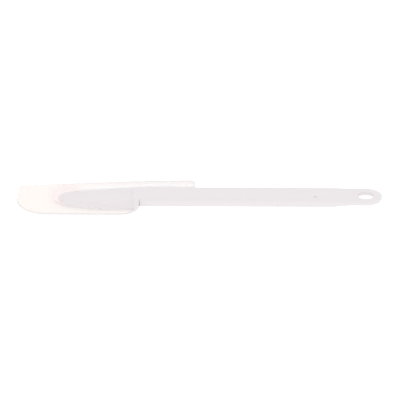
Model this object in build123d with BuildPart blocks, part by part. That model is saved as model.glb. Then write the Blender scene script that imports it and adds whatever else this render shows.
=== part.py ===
from build123d import *
import os
from math import cos, radians, sqrt

# Long-handled dough and bowl scraper in two pieces: a rigid moulded handle whose
# spade-shaped tang is pushed into the pocket of a flexible blade.
# Millimetres. X runs from the blade's front edge (-X) to the hanging eye (+X), Y across
# the handle (+Y is the blade's long side), Z up from the flat underside. Distances called
# "back" are measured from the blade's front edge, "across" from the handle's axis.

# Whole scraper
LENGTH = 350.0
CLEARANCE = 0.12         # push fit between tang and pocket, each face
SEAM_GAP = 0.2           # open line where blade and handle meet outside

# Handle bar
BAR_WIDTH = 30.5
BAR_THICK = 8.1
BAR_ROUND = 3.3

# Hanging eye: a thin round tab with one hole
EYE_THICK = 4.0
EYE_MIDDLE = 4.6         # height of the tab's middle, a little above the bar's
EYE_RADIUS = 15.6
EYE_HOLE_RADIUS = 7.8
EYE_EDGE = 1.2
HOLE_EDGE = 0.5
NECK_START = 299.0       # back, where the bar starts to thin down
NECK_END = 321.0         # back, where it has the eye's thickness
NECK_STATIONS = 5

# Round injection mark on the bar's upper face
MARK_RADIUS = 1.8
MARK_DEPTH = 0.5
MARK_BACK = 286.0
MARK_ACROSS = -7.5

# Blade outline
SHORT_HALF = 32.0        # across, short side
LONG_HALF = 43.4         # across, long side at the rear
LONG_HALF_MID = 38.7     # across, long side half way back
LONG_HALF_FRONT = 30.0   # across, long side at the front corner
FRONT_SLANT = 1.5        # how far the front edge leans back at the long side
SHORT_BACK = 118.0       # back, short side's shoulder
LONG_BACK = 171.0        # back, long side's shoulder
SHOULDER_RADIUS = 20.0
LONG_REAR_CORNER = 6.0
LONG_FRONT_CORNER = 2.5

# Blade plate
PLATE_THICK = 1.8
UNDER_EDGE = 0.4         # rounding of the plate's lower edge
LIP_DROP = 0.7           # the lip thins by this much
LIP_WIDTH = 2.2          # over this width

# Swelling of the blade over the tang
DOME_TIP = 29.0          # back
DOME_FRONT = 31.0        # back, first cross-section
DOME_FULL = 91.0         # back, where it reaches its full width
DOME_HALF = 24.0         # across, full width
DOME_FRONT_HEIGHT = 1.7
DOME_EDGE_HEIGHT = 1.65
DOME_EASE = 0.25         # how much the slope eases off towards the bar
NOSE_ANGLES = (30, 45, 60, 75, 90)   # degrees round the elliptical nose
RAMP_STEPS = 3           # cross-sections between the nose and the shoulder

# Tang and pocket
TANG_TIP = 37.0          # back
TANG_HALF = 22.6         # across
TANG_TIP_THICK = 0.3
TANG_EDGE = 0.15         # least thickness of the tang's long edges
TOP_SKIN = 0.8
NOSE_SKIN = 0.8          # further thickness of the top skin at the very front
BOTTOM_SKIN = 0.7
SEAM_BACK = 112.0        # blade's rear edge over the bar
SEAM_CORNER = 11.0       # where that edge turns to run along the bar's long side

# Derived
FRONT_X = -LENGTH / 2
AXIS_Y = (SHORT_HALF - LONG_HALF) / 2
BAR_MIDDLE = BAR_THICK / 2
BAR_HALF = BAR_WIDTH / 2
EYE_BACK = LENGTH - EYE_RADIUS
DOME_LENGTH = SHORT_BACK - DOME_FRONT
CREST_HALF = BAR_HALF - BAR_ROUND
SEAM_ACROSS = BAR_HALF   # blade's inner edge lies along the bar's long side
REACH = 100.0            # beyond the blade on every side


def level(height):
    """Horizontal plane: origin at the blade's front edge, on the handle's axis."""
    return Plane(origin=(FRONT_X, AXIS_Y, height))


def station(back):
    """Cross-section plane: local x goes across the handle, local y up."""
    return Plane(origin=(FRONT_X + back, AXIS_Y, 0), x_dir=(0, 1, 0), z_dir=(1, 0, 0))


def ellipse_half(back, tip, full, half):
    """Half width of a half-ellipse nose that starts at tip and is full width at full."""
    share = min(max((full - back) / (full - tip), 0), 1)
    return half * sqrt(1 - share**2)


def dome_height(back):
    """Height of the blade's crest, from the plate up to the bar's upper face."""
    share = (back - DOME_FRONT) / DOME_LENGTH
    rise = share * (1 + DOME_EASE) - DOME_EASE * share**2
    return DOME_FRONT_HEIGHT + (BAR_THICK - DOME_FRONT_HEIGHT) * rise


def top_skin(back):
    """Blade's wall over the tang: thickest over the tang's tip, even from the ramp on."""
    share = min((back - DOME_FRONT) / (DOME_FULL - DOME_FRONT), 1)
    return TOP_SKIN + NOSE_SKIN * (1 - share) ** 2


def draw_section(back, floor, edge, top):
    """Arch across the handle: flat floor, low straight sides, curved flanks, flat crest."""
    half = ellipse_half(back, DOME_TIP, DOME_FULL, DOME_HALF)
    crest = CREST_HALF * half / DOME_HALF
    inward = (crest - half, top - edge)
    outward = (crest - half, edge - top)
    with BuildSketch(station(back)) as section:
        with BuildLine():
            Polyline((-half, edge), (-half, floor), (half, floor), (half, edge))
            Spline((half, edge), (crest, top), tangents=(inward, (-1, 0)))
            Line((crest, top), (-crest, top))
            Spline((-crest, top), (-half, edge), tangents=((-1, 0), outward))
        make_face()
    return section.sketch


def outer_section(back):
    """Outside of the blade and the tang's bare rear."""
    return draw_section(back, 0, DOME_EDGE_HEIGHT, dome_height(back))


def inner_section(back, clearance):
    """The tang's height inside the blade's skins, or the pocket's with a clearance."""
    depth = top_skin(back)
    edge = max(DOME_EDGE_HEIGHT - depth, BOTTOM_SKIN + TANG_EDGE)
    top = max(dome_height(back) - depth, BOTTOM_SKIN + TANG_TIP_THICK)
    return draw_section(back, BOTTOM_SKIN - clearance, edge + clearance, top + clearance)


def nose_stations():
    """Cross-section places round the elliptical nose, evenly spread in angle."""
    length = DOME_FULL - DOME_TIP
    return [DOME_FRONT] + [DOME_FULL - length * cos(radians(angle)) for angle in NOSE_ANGLES]


def ramp_stations():
    """Cross-section places from the full width up to the short side's shoulder."""
    step = (SHORT_BACK - DOME_FULL) / RAMP_STEPS
    return [DOME_FULL + step * index for index in range(RAMP_STEPS + 1)]


def arched_solid(section, rear):
    """Adds the arch along nose and ramp, and its last cross-section carried on to rear."""
    loft([section(back) for back in nose_stations()])
    loft([section(back) for back in ramp_stations()])
    extrude(section(SHORT_BACK), amount=rear - SHORT_BACK)


def blade_outline():
    """Blade's plan: full round front corner on the short side, square on the long side."""
    short_round = SHORT_BACK - SHOULDER_RADIUS
    shoulder_side = SHOULDER_RADIUS - SHORT_HALF
    long_front = (FRONT_SLANT, LONG_HALF_FRONT)
    long_mid = (LONG_BACK / 2, LONG_HALF_MID)
    long_rear = (LONG_BACK, LONG_HALF)
    inner_rear = (LONG_BACK, CREST_HALF)
    with BuildSketch(level(0)) as outline:
        with BuildLine():
            CenterArc((SHORT_HALF, 0), SHORT_HALF, 180, 90)
            Line((SHORT_HALF, -SHORT_HALF), (short_round, -SHORT_HALF))
            CenterArc((short_round, shoulder_side), SHOULDER_RADIUS, 270, 90)
            Polyline((SHORT_BACK, shoulder_side), (SHORT_BACK, CREST_HALF), inner_rear, long_rear)
            ThreePointArc(long_rear, long_mid, long_front)
            Line(long_front, (0, 0))
        make_face()
        corners = outline.vertices().group_by(Axis.Y)[-1]
        fillet(corners, LONG_REAR_CORNER)
        corners = outline.vertices().group_by(Axis.X)[1]
        fillet(corners, LONG_FRONT_CORNER)
    return outline.sketch


def tang_outline(extra, rear):
    """Plan of the tang, wider by extra all round, and open to rear."""
    half = TANG_HALF + extra
    with BuildSketch(level(0)) as outline:
        with Locations((DOME_FULL, 0)):
            Ellipse(DOME_FULL - TANG_TIP + extra, half)
        with Locations((DOME_FULL, 0)):
            Rectangle(rear - DOME_FULL, 2 * half, align=(Align.MIN, Align.CENTER))
    return outline.sketch


def outside_bar(edge):
    """Whether an edge of the plate lies clear of the bar."""
    middle = edge.center()
    return middle.X < FRONT_X + SEAM_BACK or abs(middle.Y - AXIS_Y) > BAR_HALF


def blade_prism(height):
    """The blade's plan carried up to height, its lower edge rounded."""
    with BuildPart() as prism:
        extrude(blade_outline(), amount=height)
        under = prism.faces().sort_by(Axis.Z)[0].edges().filter_by(outside_bar)
        fillet(under, UNDER_EDGE)
    return prism.part


def head_envelope():
    """Outside of blade and tang together: plate with a thin lip, dome and flank."""
    with BuildPart() as plate:
        add(blade_prism(PLATE_THICK))
        top = plate.faces().sort_by(Axis.Z)[-1]
        chamfer(top.edges().filter_by(outside_bar), LIP_WIDTH, LIP_DROP, reference=top)
    with BuildPart() as head:
        arched_solid(outer_section, LONG_BACK)
        add(blade_prism(BAR_THICK + PLATE_THICK), mode=Mode.INTERSECT)
        add(plate.part)
    return head.part


def tang_solid(clearance=0.0):
    """The tang, or the pocket around it, as a solid a skin's thickness inside the dome."""
    rear = LONG_BACK + clearance
    with BuildPart() as tang:
        arched_solid(lambda back: inner_section(back, clearance), rear)
        extrude(tang_outline(clearance, rear), amount=BAR_THICK, mode=Mode.INTERSECT)
    return tang.part


def bare_region(gap=0.0):
    """Space behind the blade's seam: the rear of the short side, and the bar."""
    with BuildPart() as region:
        with BuildSketch(level(-gap)) as plan:
            with Locations((SEAM_BACK - gap, SEAM_ACROSS + gap)):
                Rectangle(REACH, REACH, align=(Align.MIN, Align.MAX))
            fillet(plan.vertices().sort_by(Axis.X)[:2].sort_by(Axis.Y)[-1], SEAM_CORNER + gap)
        extrude(amount=BAR_THICK + 2 * gap)
    return region.part


def bar_section(back, middle, width, thick, corner):
    """Rounded cross-section of the bar, centred at a height."""
    with BuildSketch(station(back)) as section:
        with Locations((0, middle)):
            RectangleRounded(width, thick, corner)
    return section.sketch


def neck_section(back):
    """Cross-section where the bar thins down to the eye, on a smooth S curve."""
    share = (back - NECK_START) / (NECK_END - NECK_START)
    ease = share**2 * (3 - 2 * share)
    middle = BAR_MIDDLE + (EYE_MIDDLE - BAR_MIDDLE) * ease
    width = BAR_WIDTH + (2 * EYE_RADIUS - BAR_WIDTH) * ease
    thick = BAR_THICK + (EYE_THICK - BAR_THICK) * ease
    corner = BAR_ROUND + (EYE_EDGE - BAR_ROUND) * ease
    return bar_section(back, middle, width, thick, corner)


def eye_tab():
    """Thin round-ended tab with its hole, the outer edges rounded."""
    with BuildPart() as tab:
        with BuildSketch(level(EYE_MIDDLE - EYE_THICK / 2)):
            with Locations((NECK_END, 0)):
                Rectangle(EYE_BACK - NECK_END, 2 * EYE_RADIUS, align=(Align.MIN, Align.CENTER))
            with Locations((EYE_BACK, 0)):
                Circle(EYE_RADIUS)
        extrude(amount=EYE_THICK)
        rim = tab.faces().group_by(Axis.Z)[0].edges() + tab.faces().group_by(Axis.Z)[-1].edges()
        fillet(rim.filter_by(lambda edge: edge.center().X > FRONT_X + NECK_END + EYE_EDGE), EYE_EDGE)
        with Locations(level(EYE_MIDDLE)):
            with Locations((EYE_BACK, 0)):
                Hole(EYE_HOLE_RADIUS)
        hole_edges = tab.edges().filter_by(GeomType.CIRCLE)
        hole_edges = hole_edges.filter_by(lambda edge: edge.radius == EYE_HOLE_RADIUS)
        fillet(hole_edges, HOLE_EDGE)
    return tab.part


envelope = head_envelope()
os.makedirs("parts", exist_ok=True)

# Handle: bar, neck and eye, the bare rear of the head, and the tang inside the blade
with BuildPart() as bare_head:
    add(envelope)
    add(bare_region(), mode=Mode.INTERSECT)
with BuildPart() as tang:
    add(tang_solid())
    add(envelope, mode=Mode.INTERSECT)
with BuildPart() as handle:
    bar = bar_section(SHORT_BACK, BAR_MIDDLE, BAR_WIDTH, BAR_THICK, BAR_ROUND)
    extrude(bar, amount=NECK_START - SHORT_BACK)
    neck_step = (NECK_END - NECK_START) / (NECK_STATIONS - 1)
    loft([neck_section(NECK_START + neck_step * index) for index in range(NECK_STATIONS)])
    add(eye_tab())
    add(bare_head.part)
    add(tang.part)
    with Locations(level(BAR_THICK)):
        with Locations((MARK_BACK, MARK_ACROSS)):
            Hole(MARK_RADIUS, depth=MARK_DEPTH)
handle.part.label = "handle"
export_step(handle.part, "parts/handle.step")

# Blade: the flexible head, hollow for the tang and open behind
with BuildPart() as blade:
    add(envelope)
    add(tang_solid(CLEARANCE), mode=Mode.SUBTRACT)
    add(bare_region(SEAM_GAP), mode=Mode.SUBTRACT)
blade.part.label = "blade"
export_step(blade.part, "parts/blade.step")
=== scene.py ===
from math import cos, radians, sin, sqrt

import bmesh
import bpy
from mathutils import Matrix, Vector, noise
from mathutils.bvhtree import BVHTree
from mathutils.geometry import delaunay_2d_cdt, intersect_point_line
from mathutils.kdtree import KDTree


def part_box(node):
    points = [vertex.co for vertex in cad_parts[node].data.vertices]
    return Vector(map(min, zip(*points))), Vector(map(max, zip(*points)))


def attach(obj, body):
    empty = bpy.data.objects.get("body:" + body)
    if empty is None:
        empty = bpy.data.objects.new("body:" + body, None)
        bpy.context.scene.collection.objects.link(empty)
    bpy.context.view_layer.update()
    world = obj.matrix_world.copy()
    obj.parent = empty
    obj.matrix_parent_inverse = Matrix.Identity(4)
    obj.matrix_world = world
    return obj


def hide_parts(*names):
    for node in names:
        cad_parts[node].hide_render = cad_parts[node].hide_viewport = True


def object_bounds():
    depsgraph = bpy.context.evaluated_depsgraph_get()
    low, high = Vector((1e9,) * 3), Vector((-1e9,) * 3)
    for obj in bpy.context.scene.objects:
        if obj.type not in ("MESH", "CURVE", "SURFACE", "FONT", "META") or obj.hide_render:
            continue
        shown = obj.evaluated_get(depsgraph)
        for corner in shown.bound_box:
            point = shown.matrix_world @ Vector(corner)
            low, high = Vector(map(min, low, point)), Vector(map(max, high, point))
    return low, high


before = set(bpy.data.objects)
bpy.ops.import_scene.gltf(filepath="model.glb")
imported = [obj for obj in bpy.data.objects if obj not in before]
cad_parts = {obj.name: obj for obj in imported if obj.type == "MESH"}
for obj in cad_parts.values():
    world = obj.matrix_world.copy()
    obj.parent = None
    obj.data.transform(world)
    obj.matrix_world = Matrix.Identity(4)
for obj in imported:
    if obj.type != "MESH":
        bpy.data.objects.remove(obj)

# Metres, in the part's own frame: +X along the handle towards the hanging eye, +Y towards
# the blade's long side, +Z up from the flat underside.
MM = 0.001
CAD_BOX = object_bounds()

# Camera: a long lens, a little above the bench, looking square across the handle
ELEVATION = radians(26.0)
ROLL = radians(0.23)
DISTANCE = 3.5
SENSOR = 36.0
LENGTH_SHARE = 0.9135        # the scraper's length as a share of the picture's width
AIM = Vector((0.7, -4.1, 0.0)) * MM

# Light: the sky and the floor's glow as radiance, where 1.0 is white, and lamps in watts
SKY = 1.16
KEY_PLACE = (-0.6, -1.0, 1.2)
KEY_SIZE = (1.6, 0.8)
KEY_POWER = 0.9
FILL_PLACE = (1.2, -0.5, 0.35)
FILL_SIZE = (0.6, 0.6)
FILL_POWER = 0.35
FLOOR_ALBEDO = 0.25
FLOOR_GLOW = 1.0
FLOOR_ROUGHNESS = 0.9
FLOOR_SIZE = 12.0
FLOOR_GAP = 0.05 * MM
BOUNCES = 24                 # enough for light to get through the blade's four skins

# Grain of both mouldings: repeats to the metre, octaves of detail, and its height
CLOUDS_PER_M = 70
GRAINS_PER_M = 2200
GRAIN_DETAIL = 2
GRAIN_HEIGHT = 0.02 * MM

# Handle: flow clouds between two greys, and a satin face
NYLON_DEEP = (0.682, 0.647, 0.659, 1)
NYLON_PALE = (0.698, 0.663, 0.675, 1)
NYLON_CLOUD_DETAIL = 3
NYLON_ROUGHNESS = (0.34, 0.50)
NYLON_BUMP = 0.12
NYLON_IOR = 1.5

# Blade: clouds between two creams, then the tones that are laid over them in this order, each
# where the mesh layer of its name puts it
CREAM = (0.853, 0.803, 0.772, 1)
WARM_CREAM = (0.837, 0.789, 0.756, 1)
TONES = {
    "painted_highlight": (0.815, 0.81, 0.83, 1),     # painted highlight on the long side's rubber beside the handle
    "rose": (0.82, 0.73, 0.715, 1),     # the rubber round the tang's nose
    "shade": (0.64, 0.61, 0.64, 1),     # painted shade along thin lips' edges, and the tang's grey with painted shade beside it
    "thin": (0.95, 0.91, 0.92, 1),      # the skin over the tang
    "nose": (1.0, 0.88, 0.88, 1),       # the thicker skin over the tang's nose
}
RUBBER_CLOUD_DETAIL = 4
RUBBER_ROUGHNESS = (0.26, 0.38)
RUBBER_BUMP = 0.08
RUBBER_IOR = 1.41

# Blade opacities
ROOF_ALPHA = 0.04            # the pocket's roof
CLEAR_ALPHA = 0.06           # the upper skin over the tang
CLOUDY_ALPHA = 0.55          # solid rubber and the underside
THICK_ALPHA = 0.4            # added in the thick rubber beside the tang, on the short side
NOSE_ALPHA = 0.78            # the upper skin over the tang's nose

# Blade mesh: the CAD blade sampled again on an even plan, then softened
WELD = 0.001 * MM
PLAN_CUT = 0.5 * MM          # height of the slice that gives the blade's outline
POCKET_CUT = 0.75 * MM       # height of the slice that also goes through the pocket
RIM_STEP = 1.0 * MM          # between points along an outline
PLAN_STEP = 1.5 * MM         # between points inside it
RINGS = tuple(depth * MM for depth in (0.1, 0.25, 0.45, 0.8, 1.4, 2.2))   # rows along the lip
RING_SHARE = 0.92            # a row's point nearer to the outline than this share is left out
CORNER_TURN = 0.5            # an outline point that turns further than this (radians) stays
OVERHEAD = 1.0               # height that every vertical line starts from
SEAM_REACH = 0.6 * MM        # an outline point this close to the handle lies on the seam
SEAM_HEIGHTS = (1.0 * MM, 4.0 * MM)    # where the handle is looked for
SEAM_CLEAR = 2.5 * MM        # the blade stays as designed this close to the seam
SHARP_TURN = radians(50)
INSIDE = 1                   # Delaunay output: only triangles inside the outline
SLIVER = 0.01 * MM**2        # twice the area of a triangle too thin to keep
TOP_ROUND = 0.35 * MM        # rounding of the lip
UNDER_ROUND = 0.4 * MM
SEAM_ROUND = 0.12 * MM
NUDGE = 0.06 * MM            # how far inside the outline its heights are read
BLEND_PASSES = 5             # smoothing passes that turn the swelling's crease into a fillet
RIPPLE = 0.03 * MM
RIPPLE_LENGTH = 9.0 * MM

# Blade tones: how far each reaches
CLEAR_PASSES = 2             # smoothing passes between the clear and the cloudy rubber
CLEAR_GAIN = 1.3             # the clear rubber reaches out to the tang's own edge
NOSE_REACH = 9.5 * MM        # how far back the thick rubber hides the tang's nose
NOSE_SLANT = 0.2             # it reaches further back on the short side
NOSE_TONE_GAIN = 4           # how sharply its tone sets in
NOSE_EDGE = 0.3              # share from which the pocket's edge counts as the nose's
HIGHLIGHT_PASSES = 30             # how far the painted highlight on the long side's rubber reaches beside the handle
HIGHLIGHT_GAIN = 3.0
HIGHLIGHT_RISE = 6.0 * MM         # distance past the handle's axis at which it is full
ROSE_PLACE = (49 * MM, 8 * MM)    # middle of the warmer rubber, from the front edge and the axis
ROSE_SIZE = (22 * MM, 34 * MM)    # half its length and half its width
ROSE_GAIN = 1.25
BLEED = 5.0 * MM             # how far the tang's grey, with painted shade, reaches into the rubber beside it
RIM_FADE = 1.8 * MM          # depth at which the painted shade along the edge has faded out
LONG_RIM_FADE = 5.5 * MM     # and along the long side, where the lip is feathered
LONG_RIM_GAIN = 1.2
THIN_LIP = (3.0 * MM, 5.0 * MM)   # thickness up to which the edge gets painted shade, and from which it doesn't


def node_material(name):
    """New material with its node tree and its Principled shader."""
    material = bpy.data.materials.new(name)
    material.use_nodes = True
    return material, material.node_tree, material.node_tree.nodes["Principled BSDF"]


def add_camera():
    """Camera framed on the part's length."""
    scene = bpy.context.scene
    length = (Vector(CAD_BOX[1]) - Vector(CAD_BOX[0])).x
    data = bpy.data.cameras.new("camera")
    data.sensor_width = SENSOR
    data.lens = SENSOR * DISTANCE * LENGTH_SHARE / length
    camera = bpy.data.objects.new("camera", data)
    scene.collection.objects.link(camera)
    back = Vector((0, -cos(ELEVATION), sin(ELEVATION)))
    camera.location = AIM + DISTANCE * back
    turn = back.to_track_quat("Z", "Y").to_matrix() @ Matrix.Rotation(ROLL, 3, "Z")
    camera.rotation_euler = turn.to_euler()
    scene.camera = camera


def add_softbox(name, place, size, power):
    """Rectangular soft light aimed at the part."""
    data = bpy.data.lights.new(name, "AREA")
    data.shape = "RECTANGLE"
    data.size, data.size_y = size
    data.energy = power
    lamp = bpy.data.objects.new(name, data)
    bpy.context.scene.collection.objects.link(lamp)
    lamp.location = place
    lamp.rotation_euler = (-lamp.location).to_track_quat("-Z", "Y").to_euler()


def add_light():
    """Even white sky with two soft lamps."""
    world = bpy.data.worlds.new("studio")
    world.use_nodes = True
    background = world.node_tree.nodes["Background"]
    background.inputs["Color"].default_value = (1, 1, 1, 1)
    background.inputs["Strength"].default_value = SKY
    bpy.context.scene.world = world
    add_softbox("softbox", KEY_PLACE, KEY_SIZE, KEY_POWER)
    add_softbox("fill", FILL_PLACE, FILL_SIZE, FILL_POWER)


def add_floor():
    """Plain white floor, just under the blade's flat underside."""
    half = FLOOR_SIZE / 2
    mesh = bpy.data.meshes.new("floor")
    corners = [(-half, -half, 0), (half, -half, 0), (half, half, 0), (-half, half, 0)]
    mesh.from_pydata(corners, [], [(0, 1, 2, 3)])
    floor = bpy.data.objects.new("floor", mesh)
    floor.location.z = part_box("blade")[0][2] - FLOOR_GAP
    bpy.context.scene.collection.objects.link(floor)
    material, _, shader = node_material("floor_white")
    shader.inputs["Base Color"].default_value = (FLOOR_ALBEDO, FLOOR_ALBEDO, FLOOR_ALBEDO, 1)
    shader.inputs["Roughness"].default_value = FLOOR_ROUGHNESS
    shader.inputs["Specular IOR Level"].default_value = 0.0
    shader.inputs["Emission Color"].default_value = (1, 1, 1, 1)
    shader.inputs["Emission Strength"].default_value = FLOOR_GLOW
    mesh.materials.append(material)


def attribute(tree, name):
    """Output of a mesh attribute by name."""
    node = tree.nodes.new("ShaderNodeAttribute")
    node.attribute_name = name
    return node.outputs["Fac"]


def blend_colour(tree, factor, first, second):
    """Colour output that goes from first to second; each is a colour or an output."""
    node = tree.nodes.new("ShaderNodeMix")
    node.data_type = "RGBA"
    tree.links.new(factor, node.inputs["Factor"])
    for name, colour in (("A", first), ("B", second)):
        socket = next(s for s in node.inputs if s.name == name and s.type == "RGBA")
        if isinstance(colour, tuple):
            socket.default_value = colour
        else:
            tree.links.new(colour, socket)
    return next(s for s in node.outputs if s.type == "RGBA")


def remap(tree, value, low, high):
    """Output that goes from low to high as value goes from 0 to 1."""
    node = tree.nodes.new("ShaderNodeMapRange")
    node.inputs["To Min"].default_value = low
    node.inputs["To Max"].default_value = high
    tree.links.new(value, node.inputs["Value"])
    return node.outputs["Result"]


def noise_value(tree, scale, detail):
    """Noise in the piece's own space, scale in repeats to the metre."""
    coordinates = tree.nodes.new("ShaderNodeTexCoord")
    node = tree.nodes.new("ShaderNodeTexNoise")
    node.inputs["Scale"].default_value = scale
    node.inputs["Detail"].default_value = detail
    tree.links.new(coordinates.outputs["Object"], node.inputs["Vector"])
    return node.outputs["Fac"]


def add_grain(tree, shader, roughness, strength):
    """Fine grain of a moulded face, which varies its roughness and raises a slight bump."""
    fine = noise_value(tree, GRAINS_PER_M, GRAIN_DETAIL)
    tree.links.new(remap(tree, fine, *roughness), shader.inputs["Roughness"])
    bump = tree.nodes.new("ShaderNodeBump")
    bump.inputs["Strength"].default_value = strength
    bump.inputs["Distance"].default_value = GRAIN_HEIGHT
    tree.links.new(fine, bump.inputs["Height"])
    tree.links.new(bump.outputs["Normal"], shader.inputs["Normal"])


def handle_plastic():
    """Moulded nylon: satin, with a fine spark-eroded grain and faint flow clouds."""
    material, tree, shader = node_material("handle_plastic")
    clouds = noise_value(tree, CLOUDS_PER_M, NYLON_CLOUD_DETAIL)
    tree.links.new(blend_colour(tree, clouds, NYLON_DEEP, NYLON_PALE), shader.inputs["Base Color"])
    add_grain(tree, shader, NYLON_ROUGHNESS, NYLON_BUMP)
    shader.inputs["IOR"].default_value = NYLON_IOR
    return material


def blade_elastomer():
    """Natural elastomer: nearly clear where it's a thin skin, cloudy cream where it's solid."""
    material, tree, shader = node_material("blade_elastomer")
    tree.links.new(attribute(tree, "alpha"), shader.inputs["Alpha"])
    clouds = noise_value(tree, CLOUDS_PER_M, RUBBER_CLOUD_DETAIL)
    colour = blend_colour(tree, clouds, CREAM, WARM_CREAM)
    # Some of these tones are painted light: a painted highlight on the long side's rubber, and
    # painted shade along the thin lips and beside the tang
    for name, tone in TONES.items():
        colour = blend_colour(tree, attribute(tree, name), colour, tone)
    tree.links.new(colour, shader.inputs["Base Color"])
    add_grain(tree, shader, RUBBER_ROUGHNESS, RUBBER_BUMP)
    shader.inputs["IOR"].default_value = RUBBER_IOR
    return material


def welded(node):
    """The CAD node's mesh as a bmesh with its seams welded."""
    bm = bmesh.new()
    bm.from_mesh(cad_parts[node].data)
    bmesh.ops.remove_doubles(bm, verts=bm.verts, dist=WELD)
    return bm


def slice_loop(node, height):
    """Plan points, in order, of the closed line where a level plane cuts the node."""
    bm = welded(node)
    geometry = bm.verts[:] + bm.edges[:] + bm.faces[:]
    plane = {"plane_co": (0, 0, height), "plane_no": (0, 0, 1)}
    cut = bmesh.ops.bisect_plane(bm, geom=geometry, **plane)["geom_cut"]
    edges = {item for item in cut if isinstance(item, bmesh.types.BMEdge)}
    edge = min(edges, key=lambda item: tuple(item.verts[0].co + item.verts[1].co))
    edges.remove(edge)
    start, vert = sorted(edge.verts, key=lambda end: tuple(end.co))
    loop = [start.co.xy]
    while vert is not start:
        loop.append(vert.co.xy)
        edge = next(item for item in vert.link_edges if item in edges)
        edges.remove(edge)
        vert = edge.other_vert(vert)
    bm.free()
    return loop


def is_corner(before, point, after):
    """Whether a line through three points turns sharply at the middle one."""
    first, second = point - before, after - point
    return first.length > 0 and second.length > 0 and first.angle(second) > CORNER_TURN


def even_line(points):
    """Points at even steps along an open line, keeping its corners."""
    line = [points[0]]
    stretch = [points[0]]
    for index in range(1, len(points)):
        stretch.append(points[index])
        last = index == len(points) - 1
        if last or is_corner(points[index - 1], points[index], points[index + 1]):
            line += even_stretch(stretch)
            stretch = [points[index]]
    return line


def even_stretch(points):
    """Even points along a smooth stretch, without its first point."""
    total = sum((b - a).length for a, b in zip(points, points[1:]))
    count = max(round(total / RIM_STEP), 1)
    found, walked, step = [], 0.0, total / count
    for a, b in zip(points, points[1:]):
        length = (b - a).length
        while len(found) < count - 1 and (len(found) + 1) * step <= walked + length:
            found.append(a.lerp(b, ((len(found) + 1) * step - walked) / length))
        walked += length
    return found + [points[-1]]


def point_tree(points):
    """Search tree of plan points."""
    tree = KDTree(len(points))
    for index, point in enumerate(points):
        tree.insert((point.x, point.y, 0), index)
    tree.balance()
    return tree


def gap(tree, point):
    """Distance from a plan point to the nearest of a tree's points."""
    return tree.find((point.x, point.y, 0))[2]


def cast_heights(surface, point):
    """Heights at which a vertical line meets the surface, from the top down."""
    start, found = Vector((point.x, point.y, OVERHEAD)), []
    while True:
        hit = surface.ray_cast(start, Vector((0, 0, -1)))[0]
        if hit is None:
            return found
        found.append(hit.z)
        start = hit - Vector((0, 0, WELD))


def round_drop(depth, radius):
    """How far a rounded edge has dropped at a depth inside it."""
    inside = max(radius - depth, 0)
    return radius - sqrt(radius**2 - inside**2)


def plan_points(rim, pocket, surface):
    """Plan points of the blade mesh with their depths inside the outline, then its edges."""
    rim_tree = point_tree(rim)
    points, depths = list(rim), [0.0] * len(rim)
    count = len(rim)
    edges = [(index, (index + 1) % count) for index in range(count)]
    points += pocket
    depths += [None] * len(pocket)
    edges += [(index, index + 1) for index in range(count, len(points) - 1)]
    pocket_tree = point_tree(pocket)
    area = sum(a.x * b.y - a.y * b.x for a, b in zip(rim, rim[1:] + rim[:1]))
    turn = 1 if area > 0 else -1
    for depth in RINGS:
        for index, point in enumerate(rim):
            along = (rim[(index + 1) % count] - rim[index - 1]).normalized()
            inner = point + turn * depth * Vector((-along.y, along.x))
            if gap(rim_tree, inner) > RING_SHARE * depth and gap(pocket_tree, inner) > RINGS[0]:
                points.append(inner)
                depths.append(depth)
    low = Vector(map(min, zip(*rim)))
    high = Vector(map(max, zip(*rim)))
    row_step = PLAN_STEP * sqrt(3) / 2
    for row in range(int((high.y - low.y) / row_step) + 1):
        for column in range(int((high.x - low.x) / PLAN_STEP) + 1):
            shift = row % 2 / 2
            point = low + Vector(((column + shift) * PLAN_STEP, row * row_step))
            apart = gap(rim_tree, point) > RINGS[-1] + PLAN_STEP / 2
            if apart and gap(pocket_tree, point) > PLAN_STEP / 2 and cast_heights(surface, point):
                points.append(point)
                depths.append(None)
    return points, depths, edges


def ease(share):
    """Share limited to 0 to 1, on a smooth S curve."""
    share = min(max(share, 0), 1)
    return share * share * (3 - 2 * share)


def smooth(values, neighbours, free, passes):
    """Values eased towards their neighbours' mean, where they are free to move."""
    for _ in range(passes):
        mean = [sum(values[j] for j in around) / len(around) for around in neighbours]
        values = [(v + m) / 2 if f else v for v, m, f in zip(values, mean, free)]
    return values


def line_distance(line, point):
    """Distance from a plan point to a closed line."""
    nearest = []
    for a, b in zip(line, line[1:] + line[:1]):
        share = intersect_point_line(point, a, b)[1]
        nearest.append((point - a.lerp(b, min(max(share, 0), 1))).length)
    return min(nearest)


def pocket_line(rim, through):
    """The pocket's side as an open line that reaches just past the blade's outline."""
    inner = [line_distance(rim, point) > NUDGE for point in through]
    count = len(through)
    first = next(index for index in range(count) if inner[index] and not inner[index - 1])
    last = first
    while inner[last % count]:
        last += 1
    line = [through[index % count] for index in range(first - 1, last + 1)]
    line[0] = line[0] + RIM_STEP * (line[0] - line[1]).normalized()
    line[-1] = line[-1] + RIM_STEP * (line[-1] - line[-2]).normalized()
    return even_line(line)


def touches_handle(handle, point):
    """Whether the handle passes close by a plan point."""
    places = [Vector((point.x, point.y, height)) for height in SEAM_HEIGHTS]
    return any(handle.find_nearest(place)[3] < SEAM_REACH for place in places)


def middle(places):
    """Mean of several plan points."""
    return sum(places, Vector((0, 0))) / len(places)


def towards(point, target, distance):
    """Point moved a short distance towards a target."""
    return point + distance * (target - point).normalized()


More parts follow.
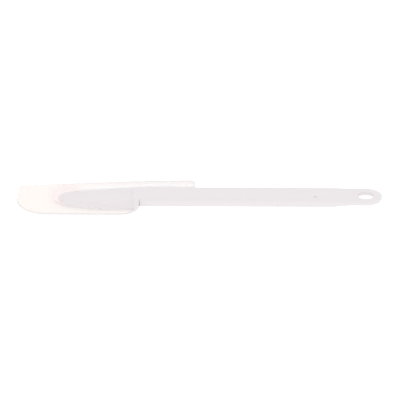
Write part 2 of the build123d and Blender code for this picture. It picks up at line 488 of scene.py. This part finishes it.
class BladePlan:
    """The blade's plan as triangles, with the CAD blade's heights at every point."""

    def __init__(self):
        rim = slice_loop("blade", PLAN_CUT)
        pocket = pocket_line(rim, slice_loop("blade", POCKET_CUT))
        rim = even_line(rim + rim[:1])[:-1]
        self.surface = BVHTree.FromBMesh(welded("blade"))
        points, depths, edges = plan_points(rim, pocket, self.surface)
        verts, _, faces, origins, _, _ = delaunay_2d_cdt(points, edges, [], INSIDE, WELD, True)
        faces = [f for f in faces if self.is_blade([verts[i] for i in f])]
        used = sorted({i for face in faces for i in face})
        place = {old: new for new, old in enumerate(used)}
        self.points = [verts[i] for i in used]
        self.triangles = [[place[i] for i in face] for face in faces]
        self.depths = [depths[origins[i][0]] if origins[i] else 0.0 for i in used]
        self.read_seam(rim)
        self.read_triangles()
        self.read_heights()

    def is_blade(self, corners):
        """Whether a triangle lies on the blade and isn't a sliver along its outline."""
        a, b, c = corners
        wide = abs((b - a).cross(c - a)) > SLIVER
        return wide and bool(cast_heights(self.surface, middle(corners)))

    def read_seam(self, rim):
        """Marks the points whose nearest stretch of outline lies against the handle."""
        handle = BVHTree.FromBMesh(welded("handle"))
        against = [touches_handle(handle, point) for point in rim]
        tree = point_tree(rim)
        nearest = [tree.find((point.x, point.y, 0)) for point in self.points]
        self.seam = [against[index] for _, index, _ in nearest]
        self.near_seam = [against[index] and far < SEAM_CLEAR for _, index, far in nearest]
        self.gaps = [far for _, _, far in nearest]
        self.axis_y = sum(corner[1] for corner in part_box("handle")) / 2

    def read_triangles(self):
        """Marks the hollow triangles and lists each point's neighbours and triangles."""
        self.hollow, self.around = [], [set() for _ in self.points]
        self.centres = [[] for _ in self.points]
        self.hollow_centres = [[] for _ in self.points]
        for triangle in self.triangles:
            centre = middle([self.points[i] for i in triangle])
            hollow = len(cast_heights(self.surface, centre)) > 2    # more than top and bottom
            self.hollow.append(hollow)
            for i in triangle:
                self.around[i] |= set(triangle) - {i}
                self.centres[i].append(centre)
                if hollow:
                    self.hollow_centres[i].append(centre)

    def read_heights(self):
        """Heights of the four skins at each point, None where the pocket doesn't reach."""
        self.top, self.bottom, self.roof, self.floor = [], [], [], []
        for point, depth, centres, hollow in zip(
                self.points, self.depths, self.centres, self.hollow_centres):
            inward = NUDGE if depth == 0 else 0
            heights = self.heights_near(point, centres, inward, 2)
            self.top.append(heights[0])
            self.bottom.append(heights[-1])
            inner = self.heights_near(point, hollow, NUDGE, 4) if hollow else [None] * 4
            self.roof.append(inner[1])
            self.floor.append(inner[2])
        self.pocket = [roof is not None for roof in self.roof]

    def heights_near(self, point, centres, inward, least):
        """Heights just inside a point, or at a triangle's centre where that line misses."""
        heights = cast_heights(self.surface, towards(point, middle(centres), inward))
        return heights if len(heights) >= least else cast_heights(self.surface, centres[0])

    def soften(self):
        """Rounds the lips, turns the swelling's crease into a fillet, and adds a faint ripple."""
        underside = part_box("blade")[0][2]
        for i, depth in enumerate(self.depths):
            if depth is None:
                continue
            if self.seam[i]:
                self.top[i] -= round_drop(depth, SEAM_ROUND)
                self.bottom[i] += round_drop(depth, SEAM_ROUND)
            else:
                self.top[i] -= round_drop(depth, TOP_ROUND)
                self.bottom[i] = underside + round_drop(depth, UNDER_ROUND)
        free = [d is None and not seam for d, seam in zip(self.depths, self.near_seam)]
        self.top = smooth(self.top, self.around, free, BLEND_PASSES)
        for i, point in enumerate(self.points):
            if free[i]:
                self.top[i] += RIPPLE * noise.noise(Vector((point.x, point.y, 0)) / RIPPLE_LENGTH)

    def spread(self, values, passes, gain):
        """Values blurred over the plan, then strengthened."""
        blurred = smooth(values, self.around, [True] * len(values), passes)
        return [min(gain * value, 1) for value in blurred]

    def pocket_edges(self):
        """Whether each point is on the pocket's edge, with solid rubber beside it."""
        return [inside and not all(self.pocket[j] for j in around)
                for inside, around in zip(self.pocket, self.around)]

    def noses(self):
        """Share of the thick rubber over the tang's nose at each point."""
        tip = min(point.x for point, inside in zip(self.points, self.pocket) if inside)
        backs = [point.x - tip + NOSE_SLANT * (point.y - self.axis_y) for point in self.points]
        return [ease(1 - back / NOSE_REACH) if inside else 0.0
                for back, inside in zip(backs, self.pocket)]

    def bleeds(self):
        """How strongly the tang's grey and painted shade show in the rubber beside it, on the short
        side.
        """
        tang = [point for point, inside in zip(self.points, self.pocket) if inside]
        tip = min(point.x for point in tang)
        tree = point_tree(tang)
        return [0.0 if inside or point.y > self.axis_y
                else ease(1 - gap(tree, point) / BLEED) * ease((point.x - tip) / NOSE_REACH)
                for point, inside in zip(self.points, self.pocket)]

    def top_alphas(self):
        """Opacity of the upper skin: nearly clear over the tang, cloudy over solid rubber."""
        clear = self.spread([float(inside) for inside in self.pocket], CLEAR_PASSES, CLEAR_GAIN)
        alphas = []
        for share, inside, nose, bleed in zip(clear, self.pocket, self.noses(), self.bleeds()):
            cloudy = CLOUDY_ALPHA + (CLEAR_ALPHA - CLOUDY_ALPHA) * share * inside
            alphas.append(max(cloudy + THICK_ALPHA * bleed, NOSE_ALPHA * nose))
        return alphas

    def roof_alphas(self):
        """Opacity of the pocket's roof: nearly clear, but for its edge on the short side."""
        return [CLOUDY_ALPHA if edge and point.y < self.axis_y else ROOF_ALPHA
                for point, edge in zip(self.points, self.pocket_edges())]

    def painted_highlights(self):
        """Painted highlight on the long side's rubber, strongest beside the tang and the bar."""
        beside = [float(inside or seam) for inside, seam in zip(self.pocket, self.seam)]
        spread = self.spread(beside, HIGHLIGHT_PASSES, HIGHLIGHT_GAIN)
        return [share * ease((point.y - self.axis_y) / HIGHLIGHT_RISE)
                for point, share in zip(self.points, spread)]

    def roses(self):
        """Warmth of the rubber round the tang's nose."""
        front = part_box("blade")[0][0]
        shares = []
        for point in self.points:
            back = (point.x - front - ROSE_PLACE[0]) / ROSE_SIZE[0]
            across = (point.y - self.axis_y - ROSE_PLACE[1]) / ROSE_SIZE[1]
            shares.append(ease(ROSE_GAIN * (1 - back**2 - across**2)))
        return shares

    def rim_shades(self):
        """Painted shade along the thin lip's edge, which grows towards the long side's rear."""
        low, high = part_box("blade")
        shares = []
        for i, point in enumerate(self.points):
            inside = self.gaps[i] if self.depths[i] is None else self.depths[i]
            thin = ease((THIN_LIP[1] - self.top[i] + self.bottom[i]) / (THIN_LIP[1] - THIN_LIP[0]))
            along = (point.x - low[0]) / (high[0] - low[0])
            if self.seam[i]:
                rim = 0.0
            elif point.y > self.axis_y and high[0] - point.x > inside + NUDGE:
                rim = ease(LONG_RIM_GAIN * (1 - inside / LONG_RIM_FADE)) * ease(LONG_RIM_GAIN * along)
            else:
                rim = ease(1 - inside / RIM_FADE)
            shares.append(rim * thin)
        return shares

    def skin_tones(self):
        """Tones of the upper skin, then of the underside, which is plain under the pocket."""
        painted_highlight, rose, rim_shades, nose = self.painted_highlights(), self.roses(), self.rim_shades(), self.noses()
        # The nose's edge on the long side keeps the tone of the rubber beside it
        bare = [edge and share > NOSE_EDGE and point.y > self.axis_y
                for edge, share, point in zip(self.pocket_edges(), nose, self.points)]
        upper = {
            "painted_highlight": painted_highlight,
            "rose": rose,
            "shade": [max(pair) for pair in zip(rim_shades, self.bleeds())],
            "thin": [float(inside and not plain) for inside, plain in zip(self.pocket, bare)],
            "nose": [0.0 if plain else min(NOSE_TONE_GAIN * share, 1)
                     for share, plain in zip(nose, bare)],
        }
        under = {
            "painted_highlight": [0.0 if inside else share for share, inside in zip(painted_highlight, self.pocket)],
            "rose": [0.0 if inside else share for share, inside in zip(rose, self.pocket)],
            "shade": rim_shades,
        }
        return upper, under


def lift(bm, points, heights, **tones):
    """Vertices of one skin with its opacity and tones, None where the skin doesn't reach."""
    skin = []
    for index, (point, height) in enumerate(zip(points, heights)):
        vert = None if height is None else bm.verts.new((point.x, point.y, height))
        if vert:
            for name, values in tones.items():
                vert[bm.verts.layers.float[name]] = values[index]
        skin.append(vert)
    return skin


def blade_mesh():
    """Closed triangle mesh of the blade, its pocket open towards the handle."""
    plan = BladePlan()
    plan.soften()
    bm = bmesh.new()
    for name in ("alpha", *TONES):
        bm.verts.layers.float.new(name)
    upper, under = plan.skin_tones()
    cloudy = [CLOUDY_ALPHA] * len(plan.points)
    thin = [1.0] * len(plan.points)
    top = lift(bm, plan.points, plan.top, alpha=plan.top_alphas(), **upper)
    bottom = lift(bm, plan.points, plan.bottom, alpha=cloudy, **under)
    roof = lift(bm, plan.points, plan.roof, alpha=plan.roof_alphas(), thin=thin)
    floor = lift(bm, plan.points, plan.floor, alpha=cloudy)
    sides = {}
    for triangle, hollow in zip(plan.triangles, plan.hollow):
        bm.faces.new([top[i] for i in triangle])
        bm.faces.new([bottom[i] for i in reversed(triangle)])
        if hollow:
            bm.faces.new([roof[i] for i in reversed(triangle)])
            bm.faces.new([floor[i] for i in triangle])
        for i, j in zip(triangle, triangle[1:] + triangle[:1]):
            sides[i, j] = hollow
    for (i, j), hollow in sides.items():
        beyond = sides.get((j, i))
        if beyond is None and hollow:
            bm.faces.new([bottom[i], bottom[j], floor[j], floor[i]])
            bm.faces.new([roof[i], roof[j], top[j], top[i]])
        elif beyond is None:
            ring = [bottom[i], bottom[j], floor[j], roof[j], top[j], top[i], roof[i], floor[i]]
            bm.faces.new([vert for vert in ring if vert])
        elif hollow and not beyond:
            bm.faces.new([floor[j], floor[i], roof[i], roof[j]])
    bmesh.ops.triangulate(bm, faces=[face for face in bm.faces if len(face.verts) > 4])
    for face in bm.faces:
        face.smooth = True
    mesh = bpy.data.meshes.new("flexible_blade")
    bm.to_mesh(mesh)
    bm.free()
    mesh.set_sharp_from_angle(angle=SHARP_TURN)
    return mesh


def add_blade():
    """The blade's visible piece, which stands for its CAD solid."""
    mesh = blade_mesh()
    mesh.materials.append(blade_elastomer())
    blade = bpy.data.objects.new("flexible_blade", mesh)
    bpy.context.scene.collection.objects.link(blade)
    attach(blade, "blade")
    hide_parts("blade")


scene = bpy.context.scene
scene.view_settings.view_transform = "Standard"
scene.cycles.transparent_max_bounces = BOUNCES
scene.cycles.max_bounces = BOUNCES
add_camera()
add_light()
add_floor()
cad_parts["handle"].material_slots[0].material = handle_plastic()
add_blade()
